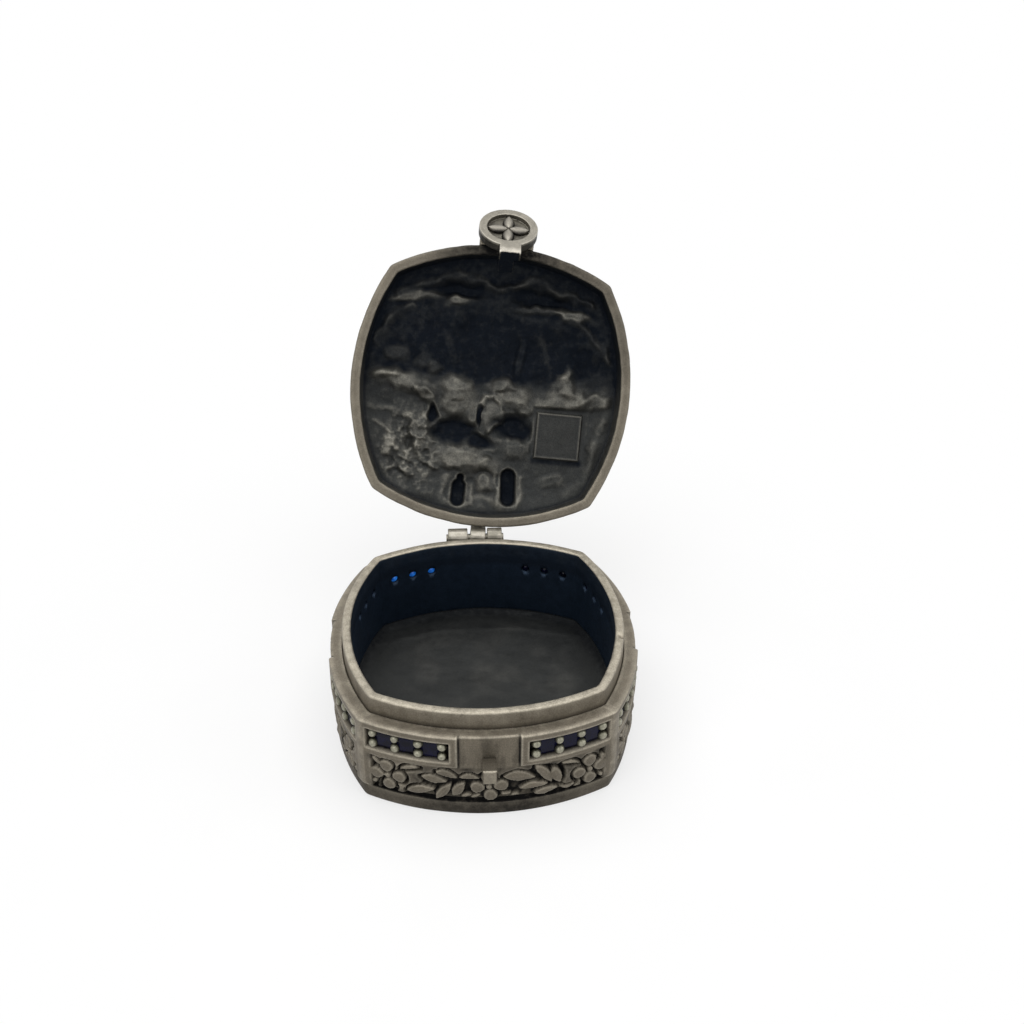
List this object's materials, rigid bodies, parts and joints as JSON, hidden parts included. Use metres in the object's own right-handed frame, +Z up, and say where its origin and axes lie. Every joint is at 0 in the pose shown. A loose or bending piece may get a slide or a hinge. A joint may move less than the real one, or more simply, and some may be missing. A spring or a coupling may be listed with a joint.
{
  "type": "devotional lotus box",
  "caption": "Small square silver prayer box with bowed sides, stone channels, a flower frieze, a hinged lotus lid and a hook clasp.",
  "frame": {"origin": "centre of the flat underside of the foot", "axes": "+Z up, +Y towards the hinge at the back, +X to the right as seen from the clasp side"},
  "size_m": [0.0299, 0.0495, 0.0368],
  "materials": {
    "silver": "oxidised silver, dark in its hollows and worn bright on its edges",
    "dark_silver": "rough cast silver with a black patina",
    "bright_silver": "worn satin silver",
    "sapphire_stone": "polished dark blue stone"
  },
  "bodies": {
    "base": {"base_wall": "silver", "foot_band": "silver", "inner_sleeve": "silver", "floor_plate": "dark_silver", "bottom_plate": "silver", "frame_front_left": "silver", "stone_front_left_1": "sapphire_stone", "stone_front_left_2": "sapphire_stone", "stone_front_left_3": "sapphire_stone", "frame_front_right": "silver", "stone_front_right_1": "sapphire_stone", "stone_front_right_2": "sapphire_stone", "stone_front_right_3": "sapphire_stone", "frieze_front": "silver", "frame_right_left": "silver", "stone_right_left_1": "sapphire_stone", "stone_right_left_2": "sapphire_stone", "stone_right_left_3": "sapphire_stone", "frame_right_right": "silver", "stone_right_right_1": "sapphire_stone", "stone_right_right_2": "sapphire_stone", "stone_right_right_3": "sapphire_stone", "frieze_right": "silver", "frame_back_left": "silver", "stone_back_left_1": "sapphire_stone", "stone_back_left_2": "sapphire_stone", "stone_back_left_3": "sapphire_stone", "frame_back_right": "silver", "stone_back_right_1": "sapphire_stone", "stone_back_right_2": "sapphire_stone", "stone_back_right_3": "sapphire_stone", "frieze_back": "silver", "frame_left_left": "silver", "stone_left_left_1": "sapphire_stone", "stone_left_left_2": "sapphire_stone", "stone_left_left_3": "sapphire_stone", "frame_left_right": "silver", "stone_left_right_1": "sapphire_stone", "stone_left_right_2": "sapphire_stone", "stone_left_right_3": "sapphire_stone", "frieze_left": "silver", "catch_peg": "silver", "hinge_knuckle_left": "bright_silver", "hinge_knuckle_right": "bright_silver"},
    "hinge_pin": {"hinge_pin": "bright_silver"},
    "lid": {"lid_shell": "dark_silver", "lid_knuckle": "bright_silver", "lid_plaque": "dark_silver", "lotus_outer_petals": "silver", "lotus_inner_petals": "silver", "lotus_seed_head": "silver", "clasp_boss": "silver", "clasp_pin": "bright_silver"},
    "clasp": {"clasp_flap": "bright_silver", "clasp_flower": "bright_silver"}
  },
  "joints": [
    {"name": "lid_hinge", "type": "hinge", "parent": "base", "child": "hinge_pin", "pos_m": [0, 0.0152, 0.00935], "axis": [1, 0, 0], "range_deg": [0, 121]},
    {"name": "lid_play", "type": "hinge", "parent": "hinge_pin", "child": "lid", "pos_m": [0, 0.0152, 0.00935], "axis": [0, 0.8572, -0.515], "range_deg": [-6.5, 0]},
    {"name": "clasp_swing", "type": "hinge", "parent": "lid", "child": "clasp", "pos_m": [0.00397, 0.03321, 0.03608], "axis": [-0.9936, 0.0583, 0.097], "range_deg": [0, 49.9]}
  ],
  "couplings": [
    {"joint": "lid_play", "follows": "lid_hinge", "ratio": -0.053719},
    {"joint": "clasp_swing", "follows": "lid_hinge", "ratio": 0.4124}
  ]
}
